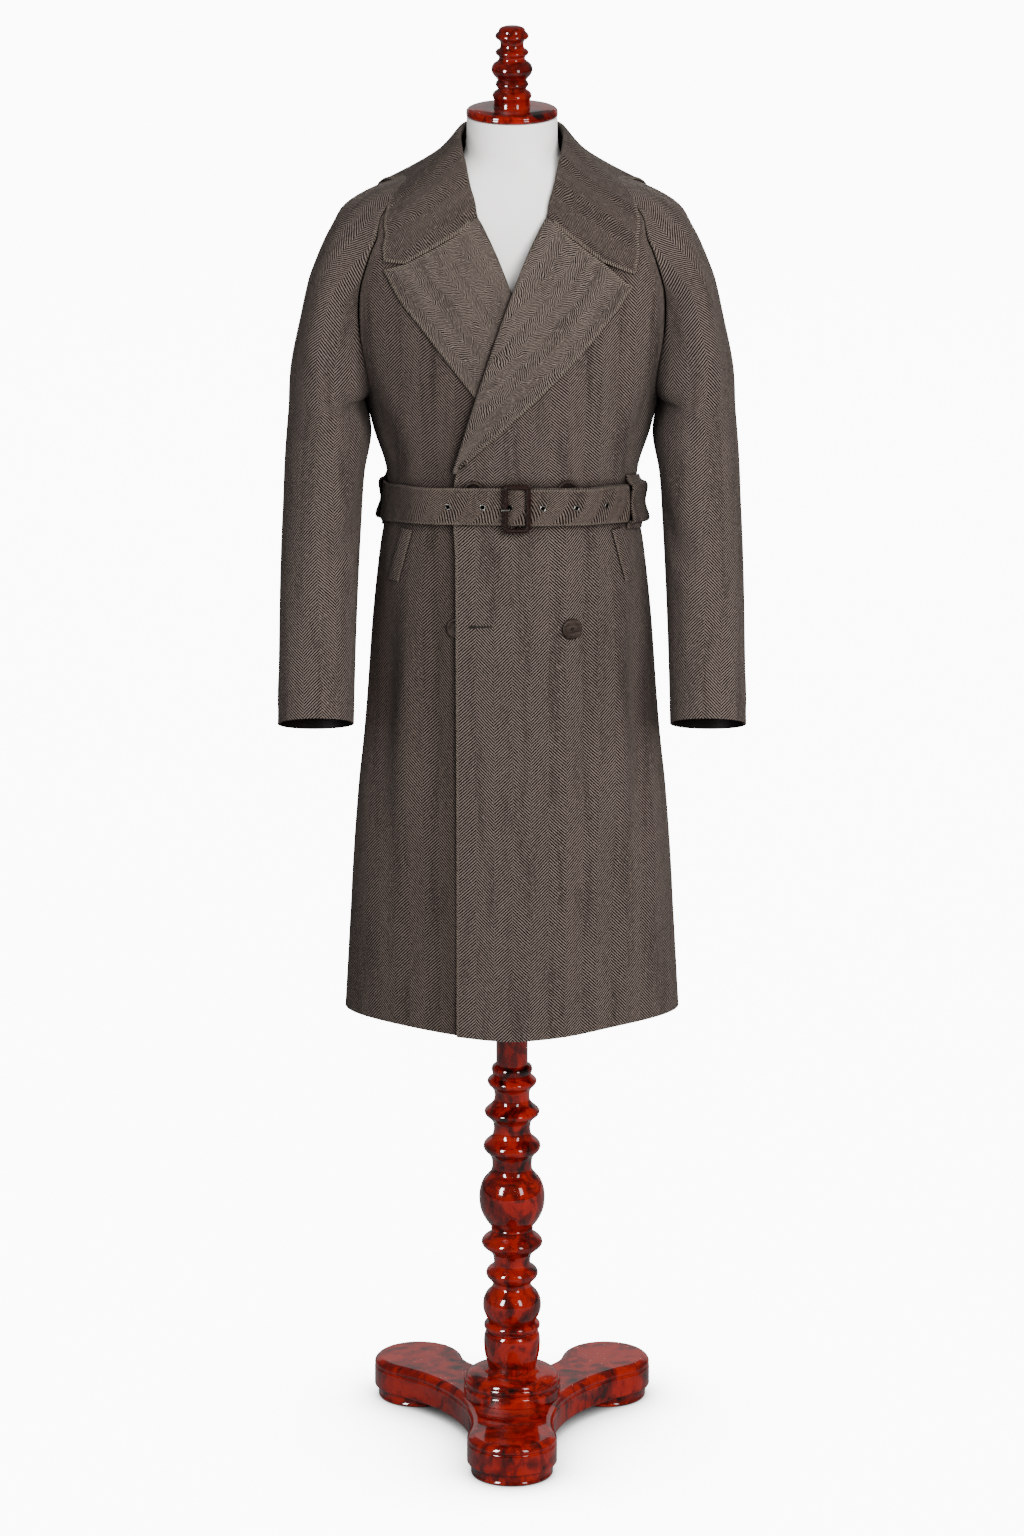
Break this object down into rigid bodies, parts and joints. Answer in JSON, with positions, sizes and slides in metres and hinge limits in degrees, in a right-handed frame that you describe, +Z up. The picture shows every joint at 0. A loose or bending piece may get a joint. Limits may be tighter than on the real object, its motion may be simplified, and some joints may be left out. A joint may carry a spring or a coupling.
{
  "type": "raglan overcoat on a dress form stand",
  "caption": "Belted, double-breasted raglan overcoat with wide lapels, worn by a limbless dress form on a turned, lacquered stand with a three-footed base.",
  "frame": {"origin": "on the floor, on the axis of the stand's pole, midway between the front foot's and the rear feet's ends", "axes": "+Z up; -Y is the coat's front; +X is the wearer's left, the side of the front that lies on top"},
  "size_m": [0.588, 0.3997, 1.862],
  "materials": {
    "herringbone_wool": "brown-grey herringbone wool coating, matt and slightly hairy",
    "lapel_wool": "the same wool on the lapels and the collar, its weave turned and finer",
    "belt_wool": "the same wool, firm, in two layers",
    "dark_horn": "dark brown horn, satin",
    "brown_leather": "dark brown leather over a frame, satin",
    "bright_steel": "bright nickel-plated steel",
    "form_white": "smooth white, matt",
    "red_lacquer": "turned and shaped wood under mottled red, high-gloss lacquer"
  },
  "bodies": {
    "root": {"back": "herringbone_wool", "front_left": "herringbone_wool", "front_right": "herringbone_wool", "sleeve_left": "herringbone_wool", "sleeve_right": "herringbone_wool", "belt_loop_left": "herringbone_wool", "belt_loop_right": "herringbone_wool", "pocket_welt_left": "herringbone_wool", "pocket_welt_right": "herringbone_wool", "lapel_left": "lapel_wool", "lapel_right": "lapel_wool", "collar": "lapel_wool", "belt": "belt_wool", "button_waist_left": "dark_horn", "button_waist_right": "dark_horn", "button_skirt_left": "dark_horn", "button_skirt_right": "dark_horn", "buckle": "brown_leather", "buckle_bar": "bright_steel", "buckle_prong": "bright_steel", "eyelet_1": "bright_steel", "eyelet_2": "bright_steel", "eyelet_3": "bright_steel", "eyelet_4": "bright_steel", "eyelet_5": "bright_steel", "eyelet_6": "bright_steel", "form": "form_white", "neck_cap": "red_lacquer", "finial": "red_lacquer", "column": "red_lacquer", "boss": "red_lacquer", "base": "red_lacquer", "foot_pad_front": "red_lacquer", "foot_pad_left": "red_lacquer", "foot_pad_right": "red_lacquer"}
  },
  "joints": []
}
